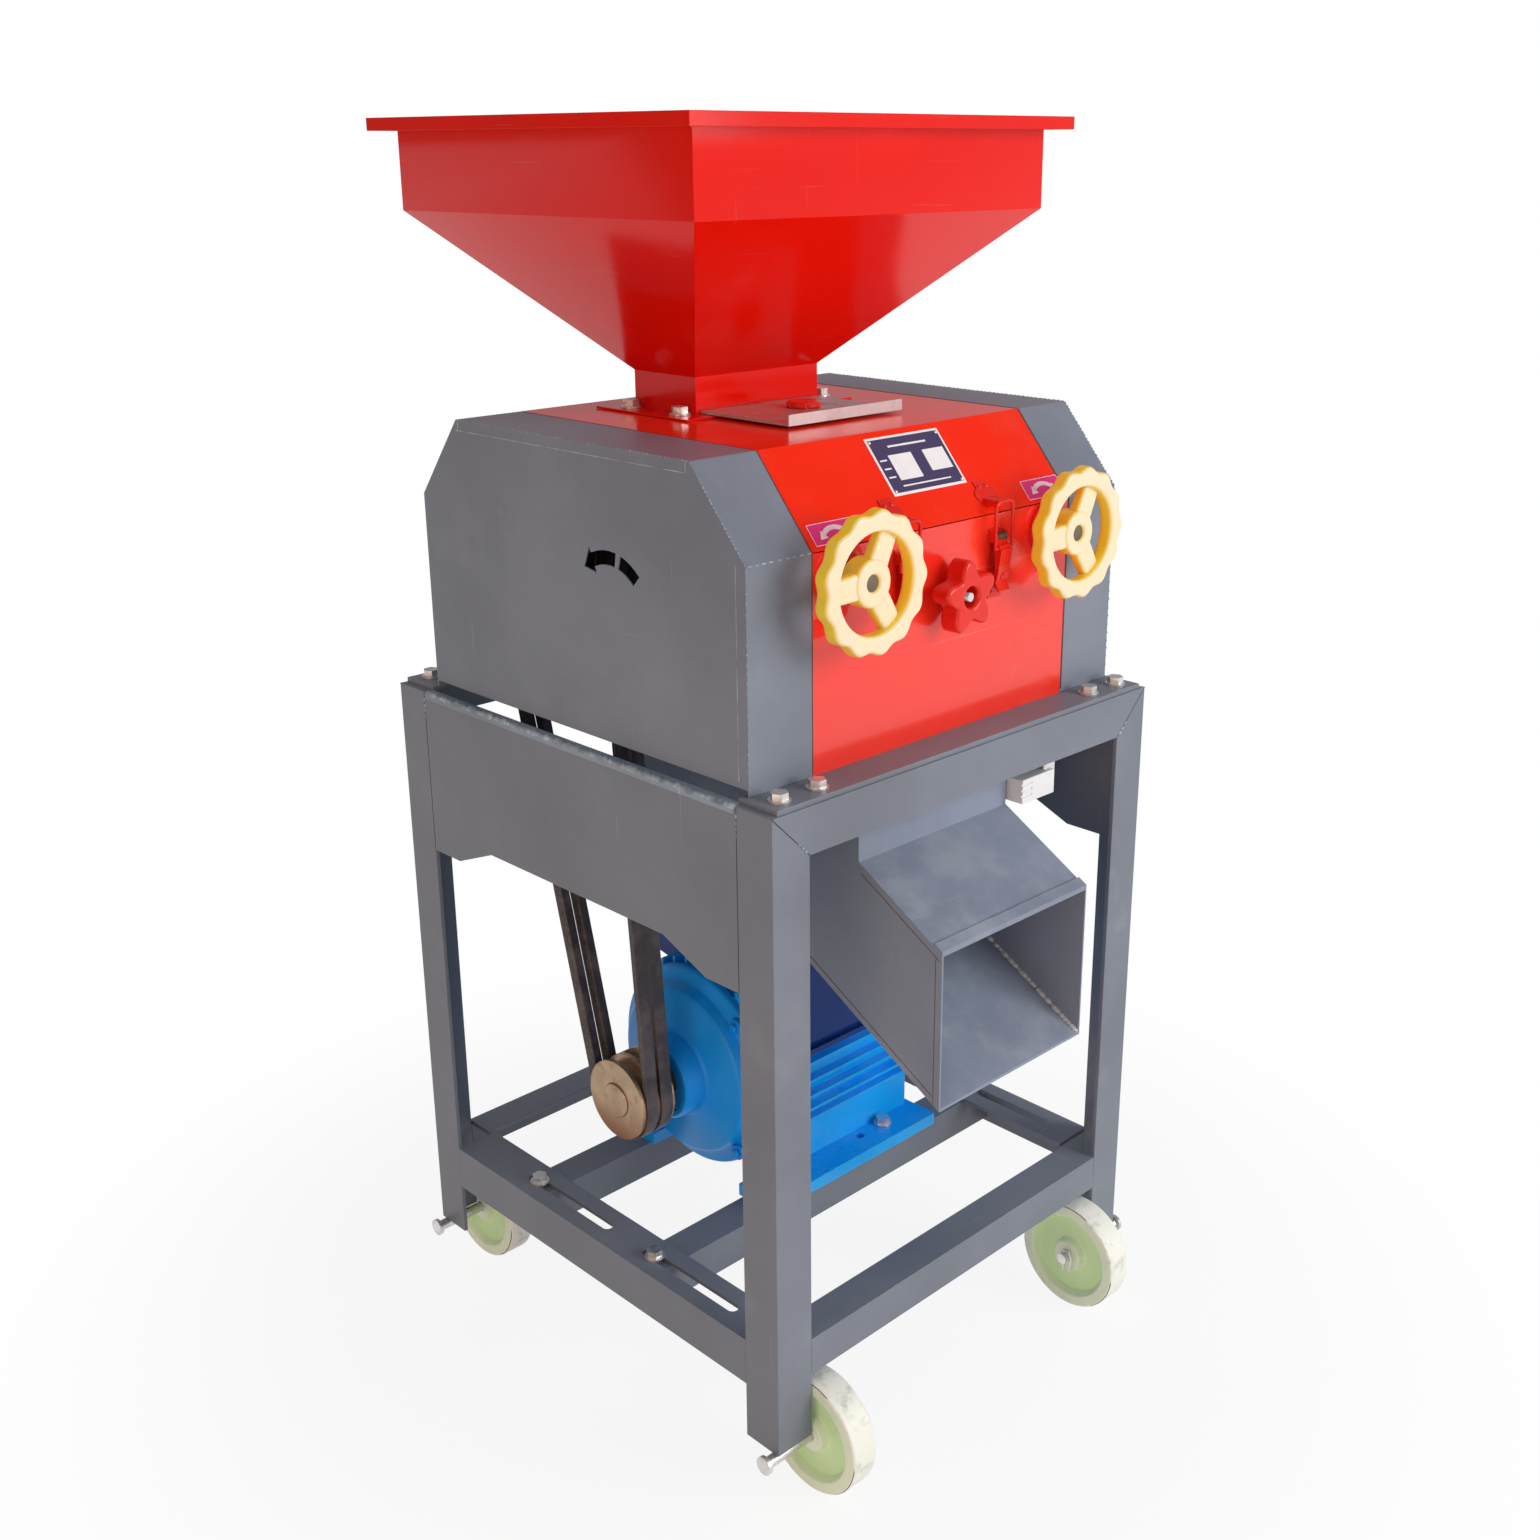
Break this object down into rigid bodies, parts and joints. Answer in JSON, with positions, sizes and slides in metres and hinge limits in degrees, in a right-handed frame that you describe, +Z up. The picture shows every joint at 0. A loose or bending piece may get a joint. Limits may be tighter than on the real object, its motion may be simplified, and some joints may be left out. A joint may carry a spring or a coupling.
{
  "type": "grain crusher",
  "caption": "Grain crusher: a roller mill with a feed hopper, handwheel adjusters, V-belt motor drive and sloping discharge chute on a wheeled angle-iron stand.",
  "frame": {"origin": "on the floor, at the centre of the overall box", "axes": "+X to the right seen from the discharge side, +Y from the discharge side to the rear, +Z up"},
  "size_m": [0.568, 0.681, 1.2888],
  "materials": {
    "frame_grey": "satin grey paint, scuffed",
    "galvanised": "matt",
    "hopper_red": "glossy red paint",
    "hood_orange": "glossy orange-red paint",
    "fitting_red": "red paint",
    "knob_red": "moulded red plastic",
    "zinc": "zinc plated",
    "roller_steel": "machined",
    "bearing_iron": "machined",
    "pulley_iron": "bare, lightly rusted",
    "belt_rubber": "worn",
    "motor_blue": "glossy blue paint",
    "box_navy": "satin dark blue paint",
    "rotor_iron": "laminated steel",
    "fan_plastic": "moulded",
    "wheel_green": "moulded pale green",
    "handwheel_ivory": "moulded ivory-yellow",
    "plate_violet": "printed plate"
  },
  "bodies": {
    "stand": {"leg_front_left": "frame_grey", "leg_front_right": "frame_grey", "leg_rear_left": "frame_grey", "leg_rear_right": "frame_grey", "top_cross_rails": "frame_grey", "side_panels": "frame_grey", "bottom_rail_left": "frame_grey", "bottom_rail_right": "frame_grey", "bottom_cross_rails": "frame_grey", "motor_rails": "frame_grey", "flange_bolts": "zinc", "axle_pins": "zinc", "retaining_clips": "zinc", "base_bars": "frame_grey", "mill_side_left": "frame_grey", "mill_side_right": "frame_grey", "front_panel": "hood_orange", "rear_panel": "hood_orange", "hood_hinge_pins": "zinc", "belt_cover": "frame_grey", "gear_cover": "frame_grey", "fixed_bearings": "bearing_iron", "drive_belts": "belt_rubber", "motor_body": "motor_blue", "motor_end_bells": "motor_blue", "fan_cowl": "motor_blue", "terminal_box": "box_navy", "discharge_chute": "frame_grey", "spring_cups": "fitting_red", "latch_bases": "fitting_red", "rail_bracket": "galvanised"},
    "front_left_wheel": {"wheel_front_left": "wheel_green"},
    "front_right_wheel": {"wheel_front_right": "wheel_green"},
    "rear_left_wheel": {"wheel_rear_left": "wheel_green"},
    "rear_right_wheel": {"wheel_rear_right": "wheel_green"},
    "hood_group": {"hood": "hood_orange", "hopper": "hopper_red", "hopper_bolts": "zinc", "nameplate": "plate_violet", "latch_catches": "fitting_red"},
    "gate": {"feed_gate": "zinc"},
    "gate_screw": {"gate_knob": "knob_red"},
    "carriage": {"sliding_bearing_blocks": "bearing_iron"},
    "moving_roller": {"adjustable_roller": "roller_steel", "adjustable_roller_gear": "roller_steel"},
    "driven_roller": {"fixed_roller": "roller_steel", "fixed_roller_gear": "roller_steel", "driven_pulley": "pulley_iron"},
    "motor_shaft": {"motor_rotor": "rotor_iron", "motor_fan": "fan_plastic", "motor_pulley": "pulley_iron"},
    "left_adjuster": {"handwheel_left": "handwheel_ivory", "adjusting_screw_left": "zinc"},
    "right_adjuster": {"handwheel_right": "handwheel_ivory", "adjusting_screw_right": "zinc"},
    "panel_knob": {"star_knob": "knob_red"},
    "left_lever": {"latch_lever_left": "fitting_red"},
    "right_lever": {"latch_lever_right": "fitting_red"},
    "left_bail": {"latch_bail_left": "fitting_red"},
    "right_bail": {"latch_bail_right": "fitting_red"}
  },
  "joints": [
    {"name": "front_left_wheel_axle", "type": "hinge", "parent": "stand", "child": "front_left_wheel", "pos_m": [-0.207, -0.278, 0.0625], "axis": [1, 0, 0], "continuous": true},
    {"name": "front_right_wheel_axle", "type": "hinge", "parent": "stand", "child": "front_right_wheel", "pos_m": [0.207, -0.278, 0.0625], "axis": [1, 0, 0], "continuous": true},
    {"name": "rear_left_wheel_axle", "type": "hinge", "parent": "stand", "child": "rear_left_wheel", "pos_m": [-0.207, 0.278, 0.0625], "axis": [1, 0, 0], "continuous": true},
    {"name": "rear_right_wheel_axle", "type": "hinge", "parent": "stand", "child": "rear_right_wheel", "pos_m": [0.207, 0.278, 0.0625], "axis": [1, 0, 0], "continuous": true},
    {"name": "hood_hinge", "type": "hinge", "parent": "stand", "child": "hood_group", "pos_m": [0, 0.2383, 0.9318], "axis": [-1, 0, 0], "range_deg": [0, 90]},
    {"name": "gate_slide", "type": "slide", "parent": "hood_group", "child": "gate", "axis": [0, -1, 0], "range_m": [0, 0.06]},
    {"name": "gate_knob_turn", "type": "hinge", "parent": "gate", "child": "gate_screw", "pos_m": [0.01, -0.041, 1.0195], "axis": [0, 0, 1], "range_deg": [0, 720]},
    {"name": "carriage_slide", "type": "slide", "parent": "stand", "child": "carriage", "axis": [0, -1, 0], "range_m": [0, 0.004]},
    {"name": "moving_roller_shaft", "type": "hinge", "parent": "carriage", "child": "moving_roller", "pos_m": [0, 0.004, 0.9058], "axis": [1, 0, 0], "continuous": true},
    {"name": "driven_roller_shaft", "type": "hinge", "parent": "stand", "child": "driven_roller", "pos_m": [0, 0.116, 0.9058], "axis": [1, 0, 0], "continuous": true},
    {"name": "motor_shaft_turn", "type": "hinge", "parent": "stand", "child": "motor_shaft", "pos_m": [0, 0.022, 0.3063], "axis": [1, 0, 0], "continuous": true},
    {"name": "left_handwheel_turn", "type": "hinge", "parent": "stand", "child": "left_adjuster", "pos_m": [-0.145, -0.281, 0.9058], "axis": [0, 1, 0], "range_deg": [0, 822.86]},
    {"name": "right_handwheel_turn", "type": "hinge", "parent": "stand", "child": "right_adjuster", "pos_m": [0.145, -0.281, 0.9058], "axis": [0, 1, 0], "range_deg": [0, 822.86]},
    {"name": "panel_knob_turn", "type": "hinge", "parent": "stand", "child": "panel_knob", "pos_m": [0, -0.262, 0.8658], "axis": [0, 1, 0], "range_deg": [0, 720]},
    {"name": "left_lever_pivot", "type": "hinge", "parent": "stand", "child": "left_lever", "pos_m": [-0.066, -0.2495, 0.9098], "axis": [-1, 0, 0], "range_deg": [0, 150]},
    {"name": "left_bail_pivot", "type": "hinge", "parent": "left_lever", "child": "left_bail", "pos_m": [-0.066, -0.2541, 0.8998], "axis": [-1, 0, 0], "range_deg": [-150, 0]},
    {"name": "right_lever_pivot", "type": "hinge", "parent": "stand", "child": "right_lever", "pos_m": [0.066, -0.2495, 0.9098], "axis": [-1, 0, 0], "range_deg": [0, 150]},
    {"name": "right_bail_pivot", "type": "hinge", "parent": "right_lever", "child": "right_bail", "pos_m": [0.066, -0.2541, 0.8998], "axis": [-1, 0, 0], "range_deg": [-150, 0]}
  ],
  "couplings": [
    {"joint": "moving_roller_shaft", "follows": "driven_roller_shaft", "ratio": -0.86667},
    {"joint": "motor_shaft_turn", "follows": "driven_roller_shaft", "ratio": 2.0889},
    {"joint": "left_handwheel_turn", "follows": "carriage_slide", "rad_per_m": 3590.4},
    {"joint": "right_handwheel_turn", "follows": "carriage_slide", "rad_per_m": 3590.4},
    {"joint": "left_bail_pivot", "follows": "left_lever_pivot", "ratio": -1},
    {"joint": "right_bail_pivot", "follows": "right_lever_pivot", "ratio": -1}
  ]
}
